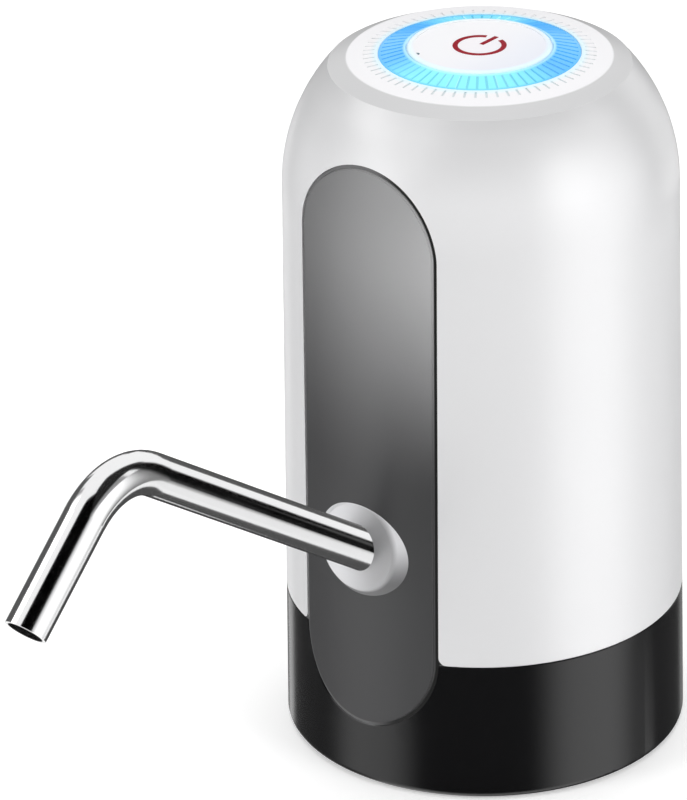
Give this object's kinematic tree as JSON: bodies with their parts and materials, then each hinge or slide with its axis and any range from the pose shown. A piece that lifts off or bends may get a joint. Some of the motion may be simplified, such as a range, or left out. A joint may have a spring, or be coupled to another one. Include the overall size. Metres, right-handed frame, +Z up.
{
  "type": "electric water jug pump",
  "caption": "Electric pump that drops over a water jug's neck: tapered round body, lit push button on top, swivelling bent steel spout in front, pump and battery inside.",
  "frame": {"origin": "centre of the neck socket's mouth, on the plane the foot stands on", "axes": "+Z up along the body, -Y forward towards the spout, +X to the right as seen from the back"},
  "size_m": [0.072, 0.161, 0.1292],
  "materials": {
    "shell_white": "gloss",
    "button_white": "satin",
    "base_black": "gloss",
    "carrier_black": "matte",
    "panel_grey": "satin",
    "ring_blue": "gloss",
    "collar_silver": "satin",
    "spout_steel": "polished",
    "inner_plastic": "matte",
    "stem_white": "satin",
    "soft_rubber": "matte",
    "valve_rubber": "matte",
    "hose_silicone": "satin",
    "circuit_green": "satin",
    "chip_black": "matte",
    "led_clear": "gloss",
    "screw_steel": "satin",
    "can_steel": "satin",
    "magnet_dark": "matte",
    "bush_brass": "satin",
    "tab_nickel": "satin",
    "winding_copper": "satin",
    "cell_blue": "gloss",
    "lead_red": "satin",
    "lead_yellow": "satin",
    "lead_white": "satin"
  },
  "bodies": {
    "body": {"upper_shell": "shell_white", "base_shell": "base_black", "panel_carrier": "carrier_black", "front_panel": "panel_grey", "top_bezel": "shell_white", "light_ring": "ring_blue", "spout_collar": "collar_silver", "spout_socket": "inner_plastic", "spout_seals": "soft_rubber", "switch_board": "circuit_green", "ring_leds": "led_clear", "tact_switch": "chip_black", "board_screws": "screw_steel", "chassis": "inner_plastic", "chassis_screws": "screw_steel", "case_screws": "screw_steel", "battery_cell": "cell_blue", "battery_tabs": "tab_nickel", "main_board": "circuit_green", "board_chips": "chip_black", "usb_socket": "screw_steel", "main_screws": "screw_steel", "motor_can": "can_steel", "motor_end_cap": "inner_plastic", "motor_magnets": "magnet_dark", "motor_bushes": "bush_brass", "motor_brushes": "magnet_dark", "motor_tabs": "tab_nickel", "motor_strap": "chip_black", "pump_body": "inner_plastic", "diaphragm": "soft_rubber", "valve_plate": "inner_plastic", "inlet_valves": "valve_rubber", "outlet_valve": "valve_rubber", "pump_cover": "inner_plastic", "pump_screws": "screw_steel", "pump_pads": "soft_rubber", "intake_stem": "stem_white", "neck_seal": "soft_rubber", "inlet_hose": "hose_silicone", "outlet_hose": "hose_silicone", "hose_clips": "screw_steel", "battery_leads": "lead_red", "motor_leads": "lead_yellow", "switch_leads": "lead_white"},
    "button": {"power_button": "button_white", "tact_plunger": "chip_black"},
    "spout": {"spout_tube": "spout_steel"},
    "rotor": {"motor_shaft": "screw_steel", "armature": "winding_copper", "commutator": "bush_brass", "eccentric": "inner_plastic"},
    "wobble": {"wobble_plate": "inner_plastic"}
  },
  "joints": [
    {"name": "button_press", "type": "slide", "parent": "body", "child": "button", "axis": [0, 0, -1], "range_m": [0, 0.0006], "stiffness_N_per_m": 1500, "springref_m": -0.0005},
    {"name": "spout_swivel", "type": "hinge", "parent": "body", "child": "spout", "pos_m": [0, -0.0364, 0.0466], "axis": [0, -0.8348, 0.5505], "continuous": true},
    {"name": "motor_spin", "type": "hinge", "parent": "body", "child": "rotor", "pos_m": [0.006, 0, 0.08], "axis": [0, 0, 1], "continuous": true, "deforming": ["diaphragm"]},
    {"name": "wobble_turn", "type": "hinge", "parent": "rotor", "child": "wobble", "pos_m": [0.006, 0, 0.05131], "axis": [0.1045, 0, 0.9945], "continuous": true}
  ],
  "couplings": [
    {"joint": "wobble_turn", "follows": "motor_spin", "ratio": -1}
  ]
}
